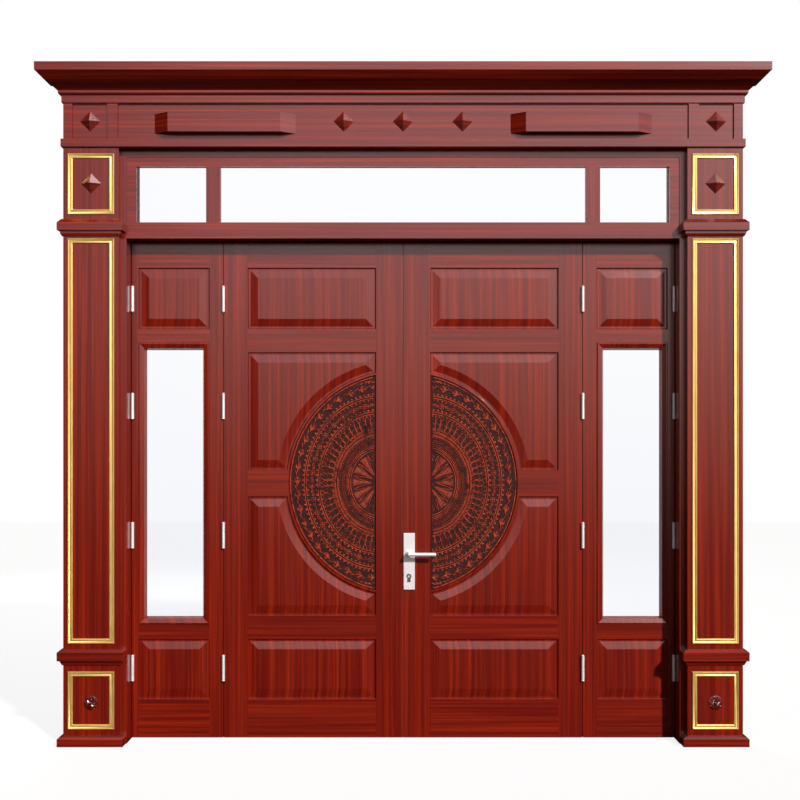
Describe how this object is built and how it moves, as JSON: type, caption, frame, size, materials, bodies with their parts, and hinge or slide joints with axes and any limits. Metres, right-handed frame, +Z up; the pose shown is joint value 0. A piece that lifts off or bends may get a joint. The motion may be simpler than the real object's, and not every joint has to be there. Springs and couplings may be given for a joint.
{
  "type": "four-leaf steel entrance door with frame",
  "caption": "Wide entrance door in its frame: hinged main and side leaves with pressed panels and a carved drum, glazed transom, pilasters and cornice.",
  "frame": {"origin": "middle of the whole door's footprint, at floor level", "axes": "+Z up, -Y towards the front, +X to the right as seen from the front"},
  "size_m": [3.42, 0.346, 3.2],
  "materials": {
    "wood_grain": "glossy red-brown wood-grain film on steel",
    "gold": "satin gold",
    "drum": "dark carved relief with coppery crests",
    "steel": "satin stainless steel",
    "glass": "clear",
    "seal": "matt black",
    "core": "paper honeycomb"
  },
  "bodies": {
    "frame": {"jamb_left": "wood_grain", "jamb_right": "wood_grain", "transom_bar": "wood_grain", "frame_head": "wood_grain", "transom_sash": "wood_grain", "transom_panes": "glass", "transom_beads": "wood_grain", "frame_seal": "seal", "pilaster_left": "wood_grain", "pilaster_right": "wood_grain", "capitals": "wood_grain", "dado_mouldings": "wood_grain", "base_mouldings": "wood_grain", "gold_trims": "gold", "pyramid_studs": "wood_grain", "rosettes": "wood_grain", "frieze_board": "wood_grain", "frieze_bars": "wood_grain", "cornice": "wood_grain", "jamb_hinges_fixed": "steel"},
    "side_left": {"side_leaf_front_skin_left": "wood_grain", "side_leaf_back_skin_left": "wood_grain", "side_leaf_core_left": "core", "side_leaf_pane_left": "glass", "side_leaf_glazing_left": "wood_grain", "jamb_hinges_moving_left": "steel", "leaf_hinges_fixed_left": "steel"},
    "main_left": {"main_leaf_front_skin_left": "wood_grain", "main_leaf_back_skin_left": "wood_grain", "main_leaf_core_left": "core", "carved_drum_left": "drum", "leaf_hinges_moving_left": "steel", "strike_plate": "steel"},
    "side_bolt_top_left": {"side_bolt_top_left": "steel"},
    "side_bolt_foot_left": {"side_bolt_foot_left": "steel"},
    "side_right": {"side_leaf_front_skin_right": "wood_grain", "side_leaf_back_skin_right": "wood_grain", "side_leaf_core_right": "core", "side_leaf_pane_right": "glass", "side_leaf_glazing_right": "wood_grain", "jamb_hinges_moving_right": "steel", "leaf_hinges_fixed_right": "steel"},
    "main_right": {"main_leaf_front_skin_right": "wood_grain", "main_leaf_back_skin_right": "wood_grain", "main_leaf_core_right": "core", "carved_drum_right": "drum", "leaf_hinges_moving_right": "steel", "lock_case": "steel", "handle_plate_front": "steel", "handle_plate_back": "steel", "lock_cylinder": "steel"},
    "side_bolt_top_right": {"side_bolt_top_right": "steel"},
    "side_bolt_foot_right": {"side_bolt_foot_right": "steel"},
    "levers": {"lever_front": "steel", "lever_back": "steel"},
    "latch": {"latch_bolt": "steel"},
    "dead_bolt": {"dead_bolt": "steel"},
    "thumb_turn": {"thumb_turn": "steel"},
    "main_bolt_top": {"main_bolt_top": "steel"},
    "main_bolt_foot": {"main_bolt_foot": "steel"}
  },
  "joints": [
    {"name": "side_swing_left", "type": "hinge", "parent": "frame", "child": "side_left", "pos_m": [-1.308, 0.0525, 0], "axis": [0, 0, -1], "range_deg": [0, 90]},
    {"name": "main_swing_left", "type": "hinge", "parent": "side_left", "child": "main_left", "pos_m": [-0.869, 0.0525, 0], "axis": [0, 0, -1], "range_deg": [0, 100]},
    {"name": "side_swing_right", "type": "hinge", "parent": "frame", "child": "side_right", "pos_m": [1.308, 0.0525, 0], "axis": [0, 0, 1], "range_deg": [0, 90]},
    {"name": "main_swing_right", "type": "hinge", "parent": "side_right", "child": "main_right", "pos_m": [0.869, 0.0525, 0], "axis": [0, 0, 1], "range_deg": [0, 100]},
    {"name": "lever_turn", "type": "hinge", "parent": "main_right", "child": "levers", "pos_m": [0.028, 0.061, 0.8955], "axis": [0, 1, 0], "range_deg": [0, 45], "stiffness_Nm_per_rad": 2, "springref_deg": -34.38},
    {"name": "latch_slide", "type": "slide", "parent": "main_right", "child": "latch", "axis": [-1, 0, 0], "range_m": [0, 0.012]},
    {"name": "thumb_turn_turn", "type": "hinge", "parent": "main_right", "child": "thumb_turn", "pos_m": [0.028, 0.061, 0.786], "axis": [0, 1, 0], "range_deg": [0, 90]},
    {"name": "dead_bolt_slide", "type": "slide", "parent": "main_right", "child": "dead_bolt", "axis": [-1, 0, 0], "range_m": [0, 0.018]},
    {"name": "main_bolt_top_slide", "type": "slide", "parent": "main_left", "child": "main_bolt_top", "axis": [0, 0, 1], "range_m": [0, 0.02]},
    {"name": "main_bolt_foot_slide", "type": "slide", "parent": "main_left", "child": "main_bolt_foot", "axis": [0, 0, -1], "range_m": [0, 0.02]},
    {"name": "side_bolt_top_left_slide", "type": "slide", "parent": "side_left", "child": "side_bolt_top_left", "axis": [0, 0, 1], "range_m": [0, 0.02]},
    {"name": "side_bolt_foot_left_slide", "type": "slide", "parent": "side_left", "child": "side_bolt_foot_left", "axis": [0, 0, -1], "range_m": [0, 0.02]},
    {"name": "side_bolt_top_right_slide", "type": "slide", "parent": "side_right", "child": "side_bolt_top_right", "axis": [0, 0, 1], "range_m": [0, 0.02]},
    {"name": "side_bolt_foot_right_slide", "type": "slide", "parent": "side_right", "child": "side_bolt_foot_right", "axis": [0, 0, -1], "range_m": [0, 0.02]}
  ],
  "couplings": [
    {"joint": "dead_bolt_slide", "follows": "thumb_turn_turn", "m_per_rad": 0.011459}
  ]
}
